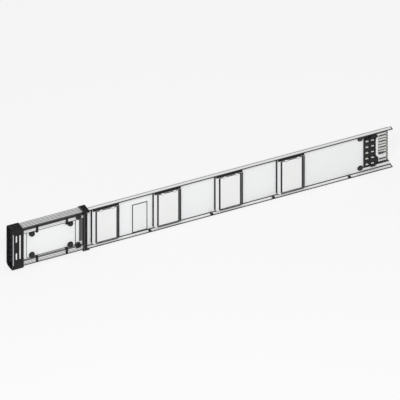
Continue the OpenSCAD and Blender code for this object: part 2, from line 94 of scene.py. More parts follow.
# The bands and rims of dark colour, painted shade and painted highlights on the finishes, in metres
CRISP = 0.0003                  # width over which a band fades out
CLEAR = 0.001                   # how far a band's box reaches past a solid that it must cover


# Sizes and finishes that a user would change

class TrunkingSizes(bpy.types.PropertyGroup):
    edge_round: bpy.props.FloatProperty(
        name="Edge rounding", description="Width of the rounding on moulded edges",
        default=0.0005, min=0.0001, max=0.0015, unit="LENGTH")
    seal_width: bpy.props.FloatProperty(
        name="Seal width", description="Width of the rubber bead beside and below each flap",
        default=0.003, min=0.002, max=0.004, unit="LENGTH")
    latch_seal_width: bpy.props.FloatProperty(
        name="Wide seal width", description="Width of the rubber bead at each flap's right side",
        default=0.0048, min=0.003, max=0.0052, unit="LENGTH")
    seal_height: bpy.props.FloatProperty(
        name="Seal height", description="How far the rubber bead stands out of the outlet frame",
        default=0.0012, min=0.0005, max=0.002, unit="LENGTH")
    gasket_thickness: bpy.props.FloatProperty(
        name="Gasket thickness", description="Thickness of the gasket round each outlet frame",
        default=0.0006, min=0.0003, max=0.001, unit="LENGTH")
    cover_seal_width: bpy.props.FloatProperty(
        name="Cover seal width", description="Width of the seal round the recess of the joint's front cover",
        default=0.0026, min=0.001, max=0.004, unit="LENGTH")
    jaw_thickness: bpy.props.FloatProperty(
        name="Jaw thickness", description="Thickness of the spring jaws in the contact block's cells",
        default=0.0007, min=0.0004, max=0.001, unit="LENGTH")
    tip_growth: bpy.props.FloatProperty(
        name="Tip sleeve growth", description="How far a fork tip's sleeve reaches beyond the tip",
        default=0.00015, min=0.0001, max=0.0002, unit="LENGTH")
    washer_growth: bpy.props.FloatProperty(
        name="Washer growth", description="How far a washer reaches beyond its screw's head",
        default=0.0015, min=0.0005, max=0.003, unit="LENGTH")
    floor_reach: bpy.props.FloatProperty(
        name="Floor reach", description="Half the width of the floor",
        default=6.0, min=2.0, max=20.0, unit="LENGTH")
    view_width: bpy.props.FloatProperty(
        name="View width", description="Width of the area that the camera sees",
        default=1.4265, min=0.5, max=5.0, unit="LENGTH")
    view_turn: bpy.props.FloatProperty(
        name="View turn", description="How far the camera turns towards the joint housing",
        default=math.radians(25.0), subtype="ANGLE")
    view_rise: bpy.props.FloatProperty(
        name="View rise", description="How far the camera looks down",
        default=math.radians(35.26), subtype="ANGLE")


def colour_property(name, description, default):
    """A colour that a user can pick."""
    return bpy.props.FloatVectorProperty(
        name=name, description=description, subtype="COLOR", size=3, default=default, min=0.0, max=1.0)


class TrunkingFinishes(bpy.types.PropertyGroup):
    casing: colour_property("Casing", "Coat of the channel and the joint's covers", (0.84, 0.845, 0.85))
    tray: colour_property("Rear tray", "Coat of the rear tray and the blank plate", (0.81, 0.815, 0.82))
    rail: colour_property("Joint rails", "Coat of the ribbed joint rails", (0.84, 0.845, 0.85))
    outlet: colour_property("Outlet frames", "Moulding colour of the outlet frames", (0.78, 0.785, 0.79))
    flap: colour_property("Flaps", "Moulding colour of the flaps", (0.82, 0.82, 0.815))
    dark: colour_property("Dark mouldings", "Colour of the collars, guards and clips", (0.012, 0.012, 0.013))
    tin: colour_property("Tinned metal", "Colour of the bars and forks", (0.66, 0.66, 0.64))


# Shader groups and materials

def add_node(tree, kind, **values):
    """A shader node with its sockets and settings given by name."""
    node = tree.nodes.new(kind)
    for name, value in values.items():
        if name in node.inputs:
            node.inputs[name].default_value = value
        else:
            setattr(node, name, value)
    return node


def moulded_surface():
    """Wide clouds tint a colour and a roughness, and a fine grain gives a height."""
    found = bpy.data.node_groups.get("Moulded surface")
    if found:
        return found
    group = bpy.data.node_groups.new("Moulded surface", "ShaderNodeTree")
    face = group.interface
    face.new_socket("Vector", in_out="INPUT", socket_type="NodeSocketVector")
    face.new_socket("Colour", in_out="INPUT", socket_type="NodeSocketColor")
    for name, value in (("Cloud scale", 9.0), ("Cloud depth", 0.05), ("Grain scale", 900.0),
                        ("Roughness", 0.5), ("Roughness spread", 0.08)):
        face.new_socket(name, in_out="INPUT", socket_type="NodeSocketFloat").default_value = value
    face.new_socket("Colour", in_out="OUTPUT", socket_type="NodeSocketColor")
    face.new_socket("Roughness", in_out="OUTPUT", socket_type="NodeSocketFloat")
    face.new_socket("Height", in_out="OUTPUT", socket_type="NodeSocketFloat")
    given = group.nodes.new("NodeGroupInput")
    result = group.nodes.new("NodeGroupOutput")
    link = group.links.new

    clouds = add_node(group, "ShaderNodeTexNoise", Detail=3.0)
    link(given.outputs["Vector"], clouds.inputs["Vector"])
    link(given.outputs["Cloud scale"], clouds.inputs["Scale"])
    grain = add_node(group, "ShaderNodeTexNoise", Detail=2.0)
    link(given.outputs["Vector"], grain.inputs["Vector"])
    link(given.outputs["Grain scale"], grain.inputs["Scale"])
    link(grain.outputs["Fac"], result.inputs["Height"])

    centred = add_node(group, "ShaderNodeMath", operation="SUBTRACT")
    link(clouds.outputs["Fac"], centred.inputs[0])
    centred.inputs[1].default_value = 0.5
    shade = add_node(group, "ShaderNodeMath", operation="MULTIPLY_ADD")
    link(centred.outputs[0], shade.inputs[0])
    link(given.outputs["Cloud depth"], shade.inputs[1])
    shade.inputs[2].default_value = 1.0
    tint = add_node(group, "ShaderNodeVectorMath", operation="SCALE")
    link(given.outputs["Colour"], tint.inputs[0])
    link(shade.outputs[0], tint.inputs["Scale"])
    link(tint.outputs["Vector"], result.inputs["Colour"])

    rough = add_node(group, "ShaderNodeMath", operation="MULTIPLY_ADD")
    link(centred.outputs[0], rough.inputs[0])
    link(given.outputs["Roughness spread"], rough.inputs[1])
    link(given.outputs["Roughness"], rough.inputs[2])
    link(rough.outputs[0], result.inputs["Roughness"])
    return group


def past_box(group, given):
    """How far a place is outside a box along each axis: the distance from its middle less half its size."""
    link = group.links.new
    away = add_node(group, "ShaderNodeVectorMath", operation="SUBTRACT")
    link(given.outputs["Vector"], away.inputs[0])
    link(given.outputs["Middle"], away.inputs[1])
    distance = add_node(group, "ShaderNodeVectorMath", operation="ABSOLUTE")
    link(away.outputs["Vector"], distance.inputs[0])
    outside = add_node(group, "ShaderNodeVectorMath", operation="SUBTRACT")
    link(distance.outputs["Vector"], outside.inputs[0])
    link(given.outputs["Half size"], outside.inputs[1])
    parts = add_node(group, "ShaderNodeSeparateXYZ")
    link(outside.outputs["Vector"], parts.inputs[0])
    return parts.outputs["X"], parts.outputs["Y"], parts.outputs["Z"]


def box_mask(name, meaning):
    """An empty group that takes a place, a box's middle and half size, and a width, and gives one mask."""
    group = bpy.data.node_groups.new(name, "ShaderNodeTree")
    face = group.interface
    for socket in ("Vector", "Middle", "Half size"):
        face.new_socket(socket, in_out="INPUT", socket_type="NodeSocketVector")
    face.new_socket("Width", in_out="INPUT", socket_type="NodeSocketFloat").default_value = 0.001
    face.new_socket("Mask", in_out="OUTPUT", socket_type="NodeSocketFloat", description=meaning)
    return group, group.nodes.new("NodeGroupInput"), group.nodes.new("NodeGroupOutput")


def combined(tree, first, second, operation="MAXIMUM"):
    """The greater of two sockets, or what another operation makes of them."""
    node = add_node(tree, "ShaderNodeMath", operation=operation)
    tree.links.new(first, node.inputs[0])
    tree.links.new(second, node.inputs[1])
    return node.outputs[0]


def times(tree, socket, factor):
    """A socket's value times a plain number."""
    node = add_node(tree, "ShaderNodeMath", operation="MULTIPLY")
    tree.links.new(socket, node.inputs[0])
    node.inputs[1].default_value = factor
    return node.outputs[0]


def outside_box():
    """Nought inside a box, rising smoothly to one at a width outside its faces."""
    found = bpy.data.node_groups.get("Outside a box")
    if found:
        return found
    group, given, result = box_mask("Outside a box", "One outside the box")
    x, y, z = past_box(group, given)
    step = add_node(group, "ShaderNodeMapRange", interpolation_type="SMOOTHSTEP")
    group.links.new(combined(group, combined(group, x, y), z), step.inputs["Value"])
    group.links.new(given.outputs["Width"], step.inputs["From Max"])
    group.links.new(step.outputs["Result"], result.inputs["Mask"])
    return group


def box_edges():
    """One near a box's edges, falling to nought over the last fifth of a width from them.

    Along an edge two of the three distances outside the box are nought, so the mask follows the middle one of
    the three: the greater of the lesser of the first two, and the lesser of their greater and the third.
    Where the greatest of the three is past a small leeway, the place is outside the box and the mask nought.
    """
    found = bpy.data.node_groups.get("Edges of a box")
    if found:
        return found
    group, given, result = box_mask("Edges of a box", "One near the box's edges")
    leeway = 0.0005
    x, y, z = past_box(group, given)
    most = combined(group, x, y)
    middle = combined(group, combined(group, x, y, "MINIMUM"), combined(group, most, z, "MINIMUM"))
    within = add_node(group, "ShaderNodeMath", operation="LESS_THAN")
    group.links.new(combined(group, most, z), within.inputs[0])
    within.inputs[1].default_value = leeway
    width = given.outputs["Width"]
    step = add_node(group, "ShaderNodeMapRange", interpolation_type="SMOOTHSTEP")
    group.links.new(middle, step.inputs["Value"])
    group.links.new(times(group, width, -1.0), step.inputs["From Min"])
    group.links.new(times(group, width, -0.8), step.inputs["From Max"])
    mask = combined(group, step.outputs["Result"], within.outputs[0], "MULTIPLY")
    group.links.new(mask, result.inputs["Mask"])
    return group


def surface(name, colour, roughness, metallic=0.0, cloud_scale=9.0, cloud_depth=0.06, grain_scale=900.0,
            grain_height=0.00005, stretch=(1.0, 1.0, 1.0), shine=0.5):
    """A Principled material with its colour, roughness and bump from the moulded surface group."""
    material = bpy.data.materials.new(name)
    material.use_nodes = True
    tree = material.node_tree
    shader = tree.nodes["Principled BSDF"]
    shader.inputs["Metallic"].default_value = metallic
    shader.inputs["Specular IOR Level"].default_value = shine
    place = add_node(tree, "ShaderNodeTexCoord")
    mapping = add_node(tree, "ShaderNodeMapping", Scale=stretch)
    tree.links.new(place.outputs["Object"], mapping.inputs["Vector"])
    group = tree.nodes.new("ShaderNodeGroup")
    group.node_tree = moulded_surface()
    group.inputs["Colour"].default_value = (*colour, 1.0)
    group.inputs["Cloud scale"].default_value = cloud_scale
    group.inputs["Cloud depth"].default_value = cloud_depth
    group.inputs["Grain scale"].default_value = grain_scale
    group.inputs["Roughness"].default_value = roughness
    tree.links.new(mapping.outputs["Vector"], group.inputs["Vector"])
    tree.links.new(group.outputs["Colour"], shader.inputs["Base Color"])
    tree.links.new(group.outputs["Roughness"], shader.inputs["Roughness"])
    bump = add_node(tree, "ShaderNodeBump", Distance=grain_height, Strength=1.0)
    tree.links.new(group.outputs["Height"], bump.inputs["Height"])
    tree.links.new(bump.outputs["Normal"], shader.inputs["Normal"])
    return material


def shaded(slot, group, low, high, width, factors):
    """Scales a slot's colour by the first factor where a mask is nought and by the second where it is one."""
    material = material_of(slot)
    tree = material.node_tree
    shader = tree.nodes["Principled BSDF"]
    coated = shader.inputs["Base Color"].links[0].from_socket
    place = next(n for n in tree.nodes if n.bl_idname == "ShaderNodeTexCoord")
    mask = tree.nodes.new("ShaderNodeGroup")
    mask.node_tree = group
    mask.inputs["Middle"].default_value = (low + high) / 2.0
    mask.inputs["Half size"].default_value = (high - low) / 2.0
    mask.inputs["Width"].default_value = width
    tree.links.new(place.outputs["Object"], mask.inputs["Vector"])
    factor = add_node(tree, "ShaderNodeMapRange")
    factor.inputs["To Min"].default_value, factor.inputs["To Max"].default_value = factors
    tree.links.new(mask.outputs["Mask"], factor.inputs["Value"])
    tint = add_node(tree, "ShaderNodeVectorMath", operation="SCALE")
    tree.links.new(coated, tint.inputs[0])
    tree.links.new(factor.outputs["Result"], tint.inputs["Scale"])
    tree.links.new(tint.outputs["Vector"], shader.inputs["Base Color"])


def shade_inside(slot, low, high, factor, fade=CRISP):
    """Scales a slot's colour by a factor inside a box, with its own colour from a width outside the box."""
    shaded(slot, outside_box(), low, high, fade, (factor, 1.0))


def shade_outside(slot, low, high, factor):
    """Scales a slot's colour by a factor outside a box."""
    shaded(slot, outside_box(), low, high, CRISP, (1.0, factor))


def shade_rim(slot, low, high, width, factor):
    """Scales a slot's colour by a factor along a box's edges."""
    shaded(slot, box_edges(), low, high, width, (1.0, factor))


def shade_rails():
    """Painted shade in the grooves between the joint rails' ribs, and dark bands along the rails' front
    faces.
    """
    # groove is the share of the coat left in the grooves between the ribs: painted shade
    groove = 0.15
    inward = Vector((-CLEAR, RIB_HEIGHT, RIB_HEIGHT))
    low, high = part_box("joint_rail_bottom")
    back = Vector((high.x, high.y - RIB_HEIGHT, high.z))
    shade_inside("rail", low + inward, back, groove, fade=RIB_HEIGHT)
    band_top = low.z + 0.0080
    shade_inside("rail", low, Vector((high.x, low.y + 2.2 * RIB_HEIGHT, band_top)), 0.06)

    low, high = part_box("joint_rail_top")
    front = Vector((0.0, 1.3 * RIB_HEIGHT, 0.0))
    shade_inside("rail", low + front, high - inward, groove, fade=RIB_HEIGHT)
    band_back = low.y + 1.2 * RIB_HEIGHT
    band_bottom, band_top = high.z - 0.0095, high.z - 0.001
    shade_inside("rail", Vector((low.x, low.y, band_bottom)), Vector((high.x, band_back, band_top)), 0.05)
    edge_top = low.z + 0.0022
    shade_inside("rail", low, Vector((high.x, band_back, edge_top)), 0.10)


def shade_casing():
    """Dark cut edges and painted shade along the bends of the channel, painted shade inside the tray and a
    dark rim on the blank plate.
    """
    low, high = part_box("casing_channel")
    lip, open_end, past_top = 0.0022, 0.0022, -CLEAR
    front_lip = Vector((open_end, lip, past_top))
    rear_bend = Vector((open_end, 0.9 * SHEET, past_top))
    # Dark cut edges at the lips and ends, and painted shade in the band along the rear bend where the channel
    # meets the tray
    shade_outside("casing", low + front_lip, high - rear_bend, 0.10)
    # Dark bands along the channel's edges: painted shade along its bends, and darker cut edges at its lips
    shade_rim("casing", low, high, 0.0046, 0.06)
    # Painted shade in the inner fold between the web and the lower flange
    lower_fold_shade = Vector((low.x, high.y - 2.0 * SHEET, low.z + 0.5 * SHEET))
    shade_inside("casing", lower_fold_shade, Vector((high.x, high.y, low.z + 1.8 * SHEET)), 0.12)

    low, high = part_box("casing_rear")
    wall = Vector((-CLEAR, 0.9 * SHEET, TRAY_LIP + 0.9 * SHEET))
    behind_lips = Vector((-CLEAR, 1.5 * SHEET, TRAY_LIP + 0.9 * SHEET))
    # Painted shade on the tray's inner faces, which lie in shade inside the tray
    shade_inside("tray", low + behind_lips, high - wall, 0.10, fade=0.0001)
    shade_rim("tray", *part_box("blank_plate"), 0.0038, 0.05)


def shade_flaps():
    """A dark rim round each flap, with a wider dark band on its latch side and painted shade below its hinge
    cover.
    """
    dark, latch_band, hinge_shade_band = 0.03, 0.0062, 0.0045
    past_face = Vector((0.0, 0.0005, 0.0))
    for k in OUTLETS:
        low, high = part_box(f"outlet_flap_{k}")
        shade_rim("flap", low, high, 0.0032, dark)
        latch_side = Vector((high.x - latch_band, low.y, low.z))
        shade_inside("flap", latch_side - past_face, high + past_face, dark)
        # Painted shade on the flap below its hinge cover
        hinge_side = Vector((low.x, low.y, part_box(f"hinge_cover_{k}")[0].z - hinge_shade_band))
        shade_inside("flap", hinge_side - past_face, Vector((high.x, low.y, high.z)) + past_face, dark)


def shade_collars():
    """Painted highlights along the collars' edges, and a painted highlight line along the left collar's front
    edge.
    """
    # Painted highlights: the collars' edges are lightened by the factor below
    highlight_width, edge_highlight = 0.0012, 12.0
    shade_rim("collar", *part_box("collar_right"), highlight_width, edge_highlight)
    low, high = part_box("collar_left")
    past_mouth = Vector((0.05, 0.0, 0.0))
    shade_rim("collar", low - past_mouth, high, highlight_width, edge_highlight)
    # Painted highlight line along the left collar's front left edge
    highlight_low = low + Vector((0.0002, -CLEAR, 0.026))
    highlight_high = Vector((low.x + 0.0026, low.y + 0.0006, high.z - 0.014))
    shade_inside("collar", highlight_low, highlight_high, 45.0)


def lighter(colour, amount):
    """A colour with the same amount added to its red, green and blue."""
    return tuple(c + amount for c in colour)


def make_materials(look):
    """One material for each slot of the record."""
    coat = {"cloud_depth": 0.04, "grain_scale": 450.0}
    moulding = {"grain_scale": 1400.0}
    matt = {"grain_scale": 1400.0, "shine": 0.2}
    brushed = {"metallic": 1.0, "cloud_scale": 30.0, "stretch": (0.05, 1.0, 1.0)}
    return {
        "casing": surface("Casing powder coat", look.casing, 0.42, **coat),
        "cover": surface("Cover powder coat", look.casing, 0.40, **coat),
        "tray": surface("Tray powder coat", look.tray, 0.45, **coat),
        "rail": surface("Rail coat", look.rail, 0.40, **coat),
        "bar": surface("Tinned bar", look.tin, 0.34, **brushed),
        "contact": surface("Tinned spring", look.tin, 0.26, metallic=1.0, cloud_scale=40.0),
        "support": surface("Support moulding", lighter(look.dark, 0.10), 0.6, **matt),
        "guard": surface("Guard moulding", lighter(look.dark, 0.004), 0.5, **matt),
        "frame": surface("Frame moulding", look.outlet, 0.48, **moulding),
        "flap": surface("Flap moulding", look.flap, 0.36, cloud_depth=0.03, **moulding),
        "pin": surface("Bright pin", (0.55, 0.56, 0.57), 0.28, metallic=1.0, cloud_scale=40.0),
        "clip": surface("Clip moulding", look.dark, 0.5, **matt),
        "screw": surface("Blackened screw", lighter(look.dark, 0.02), 0.38, metallic=0.5, cloud_scale=60.0),
        "bolt": surface("Blackened bolt", lighter(look.dark, 0.01), 0.40, metallic=0.5, cloud_scale=60.0),
        "collar": surface("Collar rubber", look.dark, 0.60, cloud_depth=0.15, grain_scale=700.0, shine=0.2),
    }


def material_of(slot):
    """The material that the finishes step made for a slot."""
    return bpy.data.materials[bpy.context.scene["material " + slot]]


# Shapes

def ring_faces(rows, columns, close_rows=False):
    """Quads between neighbouring points of a grid whose columns form a ring, as one index array."""
    row = np.arange(rows if close_rows else rows - 1)[:, None]
    column = np.arange(columns)[None, :]
    beside = (column + 1) % columns
    here, below = row * columns, (row + 1) % rows * columns
    corners = (here + column, here + beside, below + beside, below + column)
    return np.stack(corners, axis=-1).reshape(-1, 4)


def new_piece(name, points, faces, slot, smooth_angle):
    """A fixed piece from whole arrays in the frame's metres.

    Its poles are merged, its open ends filled and its normals turned outwards.
    """
    mesh = bpy.data.meshes.new(name)
    mesh.from_pydata(points.tolist(), [], faces.tolist())
    tidy = bmesh.new()
    tidy.from_mesh(mesh)
    bmesh.ops.remove_doubles(tidy, verts=tidy.verts, dist=1e-7)
    bmesh.ops.holes_fill(tidy, edges=tidy.edges)
    bmesh.ops.recalc_face_normals(tidy, faces=tidy.faces)
    tidy.to_mesh(mesh)
    tidy.free()
    return finish_piece(name, mesh, slot, SECTION, smooth_angle)


def finish_piece(name, mesh, slot, body, smooth_angle):
    """Links a mesh as an object, gives it its slot's material and lets it ride on a body."""
    mesh.materials.clear()
    mesh.materials.append(material_of(slot))
    mesh.shade_smooth()
    mesh.set_sharp_from_angle(angle=math.radians(smooth_angle))
    obj = bpy.data.objects.new(name, mesh)
    bpy.context.scene.collection.objects.link(obj)
    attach(obj, body)
    return obj


def turned_front(centre, profile, sides, outline=None):
    """A surface around an axis that points to the front.

    Each profile point is a radius and a height towards the front, carried round the axis in even steps.
    With an outline, a point's radius is the lesser of its own and the outline's at that angle.
    """
    angle = np.linspace(0.0, 2.0 * math.pi, sides, endpoint=False)
    radius = np.repeat(np.array(profile)[:, 0][:, None], sides, axis=1)
    if outline is not None:
        radius = np.minimum(radius, outline(angle)[None, :])
    height = np.repeat(np.array(profile)[:, 1][:, None], sides, axis=1)
    x, y, z = centre
    points = np.stack([x + radius * np.cos(angle), y - height, z + radius * np.sin(angle)], axis=-1)
    return points.reshape(-1, 3), ring_faces(len(profile), sides)


def hexagon(across_flats):
    """The radius of a hexagon: half the flats' distance over the cosine of the angle from a flat."""
    sixth = math.pi / 3.0
    return lambda angle: 0.5 * across_flats / np.cos((angle % sixth) - sixth / 2.0)


def joined(*parts):
    """Several point and face arrays as one pair, the later faces counted on from the earlier points."""
    points, faces, count = [], [], 0
    for part_points, part_faces in parts:
        points.append(part_points)
        faces.append(part_faces + count)
        count += len(part_points)
    return np.concatenate(points), np.concatenate(faces)


def swept(path, outward, profile, closed=False):
    """A profile, or one for each place, carried along a path.

    Each point is the path's point plus the profile's first value times the outward direction there, plus its
    second towards the front. An open path's ends are filled later.
    """
    profile = np.asarray(profile)
    if profile.ndim == 2:
        profile = np.repeat(profile[None], len(path), axis=0)
    points = (path[:, None, :] + outward[:, None, :] * profile[:, :, :1]
              + np.array(FRONT)[None, None, :] * profile[:, :, 1:])
    return points.reshape(-1, 3), ring_faces(len(path), profile.shape[1], closed)


def rounded_loop(low, high, radius, y, steps=7):
    """A closed path round a rectangle with round corners, with its outward directions.

    The direction turns evenly through a quarter at each corner, and a point is its corner's centre plus the
    radius times the direction.
    """
    turn = np.linspace(0.0, math.pi / 2.0, steps)
    angle = np.concatenate([turn + quarter * math.pi / 2.0 for quarter in range(4)])
    directions = np.stack([np.cos(angle), np.zeros_like(angle), np.sin(angle)], axis=-1)
    centres = np.repeat(np.array([[high.x - radius, y, high.z - radius], [low.x + radius, y, high.z - radius],
                                  [low.x + radius, y, low.z + radius], [high.x - radius, y, low.z + radius]]),
                        steps, axis=0)
    return centres + radius * directions, directions


def hanging_loop(low, high, radius, y, steps=9):
    """A path down the left side, round two corners and up the right side, with its outward directions.

    At a corner, a point is the corner's centre plus the radius times a direction that turns evenly.
    """
    quarter = np.linspace(0.0, math.pi / 2.0, steps)
    left = np.stack([-np.cos(quarter), -np.sin(quarter)], axis=-1)
    right = np.stack([np.sin(quarter), -np.cos(quarter)], axis=-1)
    directions = np.concatenate([left[:1], left, right, right[-1:]])
    centres = np.concatenate([
        [[low.x + radius, high.z]], np.repeat([[low.x + radius, low.z + radius]], steps, axis=0),
        np.repeat([[high.x - radius, low.z + radius]], steps, axis=0), [[high.x - radius, high.z]]])
    flat = centres + radius * directions
    path = np.stack([flat[:, 0], np.full(len(flat), y), flat[:, 1]], axis=-1)
    outward = np.stack([directions[:, 0], np.zeros(len(flat)), directions[:, 1]], axis=-1)
    return path, outward


def bead(width, height, steps=7):
    """A low half-round section from its inner to its outer edge.

    As an angle goes through half a turn, the way across is the width times half of one less its cosine, and
    the height is its sine times the full height.
    """
    way = np.linspace(0.0, math.pi, steps)
    return np.stack([width * (1.0 - np.cos(way)) / 2.0, height * np.sin(way)], axis=-1)


def softened(node, width, body=SECTION):
    """A copy of a solid with its sharp edges rounded, shown in place of the solid."""
    mesh = frame["nodes"][node].data.copy()
    tidy = bmesh.new()
    tidy.from_mesh(mesh)
    bmesh.ops.remove_doubles(tidy, verts=tidy.verts, dist=1e-6)
    bmesh.ops.dissolve_limit(tidy, angle_limit=math.radians(1.0), verts=tidy.verts, edges=tidy.edges)
    tidy.to_mesh(mesh)
    tidy.free()
    obj = finish_piece(node + "_rounded", mesh, SLOT_OF[node], body, 30.0)
    rounding = obj.modifiers.new("Rounded edges", "BEVEL")
    rounding.width = width
    rounding.segments = 2
    rounding.limit_method = "ANGLE"
    rounding.angle_limit = math.radians(40.0)
    rounding.harden_normals = True
    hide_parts(node)


# Steps

class TRUNKING_OT_finishes(bpy.types.Operator):
    """Give every solid the finish of its slot, with its dark bands, painted shade and painted highlights"""
    bl_idname = "trunking.finishes"
    bl_label = "Finishes"

    def execute(self, context):
        for slot, material in make_materials(context.scene.trunking_finishes).items():
            context.scene["material " + slot] = material.name
        shade_rails()
        shade_casing()
        shade_flaps()
        shade_collars()
        for node, obj in frame["nodes"].items():
            obj.data.materials.clear()
            obj.data.materials.append(material_of(SLOT_OF[node]))
        return {"FINISHED"}


class TRUNKING_OT_rounded_mouldings(bpy.types.Operator):
    """Round the sharp edges of the mouldings, covers and catches"""
    bl_idname = "trunking.rounded_mouldings"
    bl_label = "Rounded mouldings"

    def execute(self, context):
        width = context.scene.trunking_sizes.edge_round
        rubber_width = 1.6 * width
        for k in OUTLETS:
            softened(f"outlet_frame_{k}", width)
            softened(f"outlet_flap_{k}", width, body=f"flap_{k}")
            softened(f"hinge_cover_{k}", width)
            softened(f"panel_latch_{k}", width)
            softened(f"flange_clip_{k}", width)
        for node in ("contact_block", "fork_shroud", "joint_front", "joint_back"):
            softened(node, width)
        for node in ("collar_left", "collar_right"):
            softened(node, rubber_width)
        return {"FINISHED"}


class TRUNKING_OT_flap_seals(bpy.types.Operator):
    """Lay a dark rubber bead beside and below each flap, wider on its right side; the bead also stands in for
    the shade in the gap round the flap
    """
    bl_idname = "trunking.flap_seals"
    bl_label = "Flap seals"

    def execute(self, context):
        sizes = context.scene.trunking_sizes
        gap = 0.0009
        edge = Vector((gap, 0.0, gap))
        for k in OUTLETS:
            low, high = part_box(f"outlet_flap_{k}")
            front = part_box(f"outlet_frame_{k}")[0].y
            path, outward = hanging_loop(low - edge, high + edge, FLAP_CORNER, front)
            turned_right = np.clip(outward[:, 0], 0.0, 1.0)[:, None, None]
            narrow = bead(sizes.seal_width, sizes.seal_height)[None]
            wide = bead(sizes.latch_seal_width, sizes.seal_height)[None]
            points, faces = swept(path, outward, narrow * (1.0 - turned_right) + wide * turned_right)
            # The dark bead is a seal and also stands in for the shade in the gap round the flap
            new_piece(f"flap_seal_{k}", points, faces, "collar", smooth_angle=60.0)
        return {"FINISHED"}


def web_front():
    """How far back the front of the channel's web lies, which the blank plate's back touches."""
    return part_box("blank_plate")[1].y


class TRUNKING_OT_frame_gaskets(bpy.types.Operator):
    """Wrap each outlet frame's side in a dark gasket that meets the web, wider on its left; the gasket also
    stands in for the shade on the frame's side
    """
    bl_idname = "trunking.frame_gaskets"
    bl_label = "Frame gaskets"

    def execute(self, context):
        thickness = context.scene.trunking_sizes.gasket_thickness
        foot, left_growth = 2.2 * thickness, 1.4
        web = web_front()
        for k in OUTLETS:
            low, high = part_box(f"outlet_frame_{k}")
            height = 0.8 * (web - low.y)
            path, outward = rounded_loop(low, high, FRAME_CORNER, web)
            section = np.array([(0.0, 0.0), (foot, 0.0), (thickness, 0.3 * height),
                                (thickness, 0.9 * height), (0.5 * thickness, height), (0.0, height)])
            turned_left = np.clip(-outward[:, 0], 0.0, 1.0)[:, None, None]
            growth = np.concatenate([1.0 + left_growth * turned_left, np.ones_like(turned_left)], axis=-1)
            points, faces = swept(path, outward, section[None] * growth, closed=True)
            # The dark gasket also stands in for the shade on the frame's side, chiefly on its left
            new_piece(f"frame_gasket_{k}", points, faces, "collar", smooth_angle=40.0)
        return {"FINISHED"}


def strip_surface(x, y, z_low, z_high, width, rise, steps=9):
    """A crowned upright strip whose front stands out by about a third of the rise at its sides.

    The other two thirds follow the cosine of half a turn across its width. Its back lies as deep as the rise.
    """
    across = np.linspace(-0.5, 0.5, steps)
    crown = rise * (0.35 + 0.65 * np.cos(math.pi * across))
    section = np.concatenate([np.stack([width * across, crown], axis=-1),
                              [[0.5 * width, -rise], [-0.5 * width, -rise]]])
    path = np.array([[x, y, z_low], [x, y, z_high]])
    return swept(path, np.tile([1.0, 0.0, 0.0], (2, 1)), section)


class TRUNKING_OT_collar_strips(bpy.types.Operator):
    """Lay pale strips in the left collar's front grooves and grey sealing lips beside the collars"""
    bl_idname = "trunking.collar_strips"
    bl_label = "Collar strips"

    def execute(self, context):
        low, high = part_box("collar_left")
        step = (high.x - low.x) / COLLAR_RIBS
        floor = low.y + GROOVE_DEPTH
        bottom, top = low.z + 0.0485, high.z - 0.0225
        catch_bottom, catch_top = low.z + 0.0765, low.z + 0.1235
        strip_width, strip_rise = 0.0052, 0.0008
        for name, groove, z_low, z_high in (
                ("upper", 1, catch_top, top), ("lower", 1, bottom, catch_bottom), ("inner", 2, bottom, top)):
            strip = strip_surface(low.x + groove * step, floor, z_low, z_high, strip_width, strip_rise)
            new_piece(f"collar_strip_{name}", *strip, "flap", smooth_angle=50.0)

        lip_rise, screw_gap = 0.0006, 0.001
        cover_low, cover_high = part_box("joint_front")
        recess_low, recess_high = cover_recess()
        left_lip = strip_surface(high.x + 0.0022, cover_low.y, recess_low.z, recess_high.z, 0.0040, lip_rise)
        new_piece("collar_lip_left", *left_lip, "support", smooth_angle=50.0)
        lip_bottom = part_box("joint_screw_bottom")[1].z + screw_gap
        lip_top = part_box("joint_screw_top")[0].z - screw_gap
        right_lip = strip_surface(cover_high.x - 0.0068, cover_low.y, lip_bottom, lip_top, 0.0120, lip_rise)
        new_piece("collar_lip_right", *right_lip, "support", smooth_angle=50.0)
        return {"FINISHED"}


def recess_floor():
    """How far back the floor of the recess in the joint's front cover lies."""
    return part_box("joint_front")[0].y + RECESS_DEPTH


def cover_recess():
    """The lowest and highest corners of the shallow recess in the joint's front cover."""
    first_low, first_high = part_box("joint_bolt_1")
    low, high = Vector(first_low), Vector(first_high)
    for k in BOLTS:
        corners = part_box(f"joint_bolt_{k}")
        low = Vector(map(min, low, corners[0]))
        high = Vector(map(max, high, corners[1]))
    margin = RECESS_MARGIN - (first_high.x - first_low.x) / 2.0
    floor = recess_floor()
    low_corner = Vector((low.x - margin, floor, low.z - BOLT_GAP))
    high_corner = Vector((high.x + margin, floor, high.z + BOLT_GAP))
    return low_corner, high_corner


class TRUNKING_OT_cover_seal(bpy.types.Operator):
    """Run a dark seal round the recess of the joint's front cover, which also stands in for the shade along
    the rails' lips
    """
    bl_idname = "trunking.cover_seal"
    bl_label = "Cover seal"

    def execute(self, context):
        width = context.scene.trunking_sizes.cover_seal_width
        low, high = cover_recess()
        inset = Vector((width, 0.0, width))
        corner, height = 0.004, 0.0009
        path, outward = rounded_loop(low + inset, high - inset, corner, low.y)
        points, faces = swept(path, outward, bead(width, height), closed=True)
        # The dark seal also stands in for the shade along the rails' lips
        new_piece("cover_seal", points, faces, "collar", smooth_angle=60.0)
        return {"FINISHED"}


